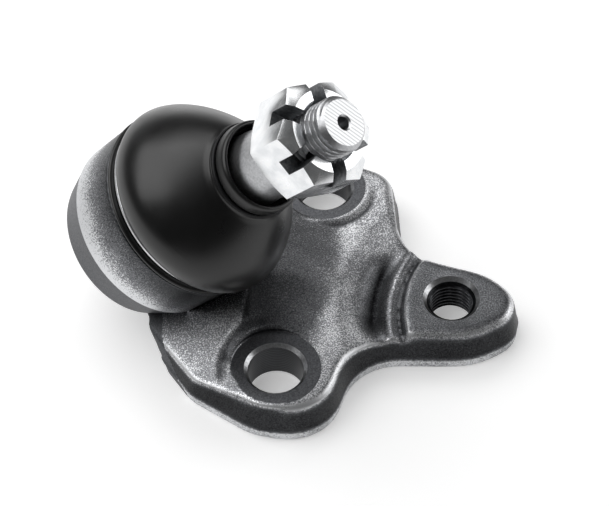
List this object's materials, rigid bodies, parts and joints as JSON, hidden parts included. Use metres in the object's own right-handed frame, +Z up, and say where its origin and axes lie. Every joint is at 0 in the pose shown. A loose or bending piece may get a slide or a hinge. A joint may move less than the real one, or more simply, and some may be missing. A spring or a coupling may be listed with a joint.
{
  "type": "suspension ball joint",
  "caption": "Suspension ball joint: forged flanged housing with fixing holes, slanted ball stud in a rubber boot, and castle nut.",
  "frame": {"origin": "on the machined underside of the flange, midway between the two plain holes", "axes": "+Z up out of the underside and along the three holes; +X towards the threaded hole, so the ball stands on the -X side; the two plain holes lie along Y"},
  "size_m": [0.1154, 0.087, 0.0886],
  "materials": {
    "forged_steel": null,
    "seat_plastic": "natural acetal",
    "spring_steel": "oiled spring steel",
    "cap_steel": "pressed steel",
    "stud_steel": "turned and ground steel, rolled thread",
    "plated_nut": "bright zinc plating",
    "boot_rubber": "semi-matte black rubber",
    "ring_wire": "bright wire",
    "clip_wire": "black oxide wire"
  },
  "bodies": {
    "joint_body": {"housing": "forged_steel", "upper_seat": "seat_plastic", "lower_seat": "seat_plastic", "preload_spring": "spring_steel", "end_cap": "cap_steel", "boot_skirt": "boot_rubber", "boot_retaining_ring": "ring_wire"},
    "boot_middle": {"boot_wall": "boot_rubber"},
    "boot_top": {"boot_collar": "boot_rubber", "collar_clip": "clip_wire"},
    "stud": {"ball_stud": "stud_steel"},
    "nut": {"castle_nut": "plated_nut"}
  },
  "joints": [
    {"name": "stud_swing_lengthways", "type": "hinge", "parent": "joint_body", "child": "boot_middle", "pos_m": [-0.032, 0, 0.0291], "axis": [0, 1, 0], "range_deg": [-18.25, 21.75], "deforming": ["boot_skirt", "boot_wall"]},
    {"name": "stud_swing_sideways", "type": "hinge", "parent": "boot_middle", "child": "boot_top", "pos_m": [-0.032, 0, 0.0291], "axis": [0.7744, 0, -0.6327], "range_deg": [-28.78, 11.22], "deforming": ["boot_collar"]},
    {"name": "stud_spin", "type": "hinge", "parent": "boot_top", "child": "stud", "pos_m": [-0.032, 0, 0.0291], "axis": [0.6253, -0.1526, 0.7653], "continuous": true},
    {"name": "nut_turn", "type": "hinge", "parent": "stud", "child": "nut", "pos_m": [0.00521, -0.00908, 0.07464], "axis": [0.6253, -0.1526, 0.7653], "continuous": true}
  ]
}
